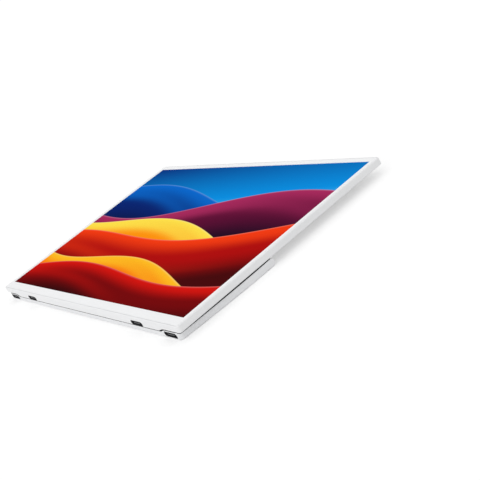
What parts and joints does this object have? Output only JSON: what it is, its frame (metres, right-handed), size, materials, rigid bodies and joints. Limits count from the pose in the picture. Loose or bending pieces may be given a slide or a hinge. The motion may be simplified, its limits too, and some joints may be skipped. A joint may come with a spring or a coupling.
{
  "type": "portable monitor",
  "caption": "Thin rectangular display slab on a stepped rear housing block, with a fold-out kick stand plate and a socket edge.",
  "frame": {"origin": "under the centre of the slab, on the plane that the rear housing block rests on", "axes": "+X along the socket edge to the right when the screen faces the viewer, +Y from the socket edge towards the far edge, +Z out of the screen"},
  "size_m": [0.355, 0.2096, 0.013],
  "materials": {
    "shell": "satin white",
    "housing": "satin white paint",
    "stand": "smooth satin",
    "screen": "semi-gloss, dark",
    "white_film": "matte white",
    "acrylic": "clear acrylic",
    "led": "matte",
    "pan": "bare sheet",
    "tape": "matte",
    "circuit_board": "solder mask",
    "chip": "matte black",
    "steel": "brushed",
    "connector": "matte",
    "socket": "matte black",
    "tongue": "matte dark grey",
    "key": "satin grey",
    "foot": "matte"
  },
  "bodies": {
    "body": {"front_bezel": "shell", "rear_cover": "shell", "housing_shell": "housing", "display_cell": "screen", "film_stack": "white_film", "reflector_sheet": "white_film", "mould_frame": "white_film", "light_guide": "acrylic", "led_strip": "led", "back_pan": "pan", "module_tapes": "tape", "timing_board": "circuit_board", "main_board": "circuit_board", "key_board": "circuit_board", "board_chips": "chip", "key_switches": "chip", "standoffs": "steel", "housing_screws": "steel", "stiffener_plate": "steel", "chip_shield": "steel", "bracket_left": "steel", "bracket_right": "steel", "bracket_screws": "steel", "friction_washers_left": "steel", "friction_washers_right": "steel", "ribbon_connector": "connector", "display_ribbon": "connector", "socket_outer_left": "socket", "socket_inner_left": "socket", "socket_inner_right": "socket", "socket_outer_right": "socket", "tongue_outer_left": "tongue", "tongue_inner_left": "tongue", "tongue_inner_right": "tongue", "tongue_outer_right": "tongue"},
    "stand": {"hinge_pin_left": "steel", "hinge_leaf_left": "steel", "hinge_pin_right": "steel", "hinge_leaf_right": "steel", "leaf_screws": "steel", "stand_plate": "stand", "stand_foot": "foot"},
    "power": {"power_key": "key"},
    "plus": {"plus_key": "key"},
    "minus": {"minus_key": "key"}
  },
  "joints": [
    {"name": "stand_hinge", "type": "hinge", "parent": "body", "child": "stand", "pos_m": [0, -0.0179, 0.0034], "axis": [1, 0, 0], "range_deg": [0, 55]},
    {"name": "power_press", "type": "slide", "parent": "body", "child": "power", "axis": [0, 0, 1], "range_m": [0, 0.0004], "stiffness_N_per_m": 1500, "springref_m": -0.0004},
    {"name": "plus_press", "type": "slide", "parent": "body", "child": "plus", "axis": [0, 0, 1], "range_m": [0, 0.0004], "stiffness_N_per_m": 1500, "springref_m": -0.0004},
    {"name": "minus_press", "type": "slide", "parent": "body", "child": "minus", "axis": [0, 0, 1], "range_m": [0, 0.0004], "stiffness_N_per_m": 1500, "springref_m": -0.0004}
  ]
}
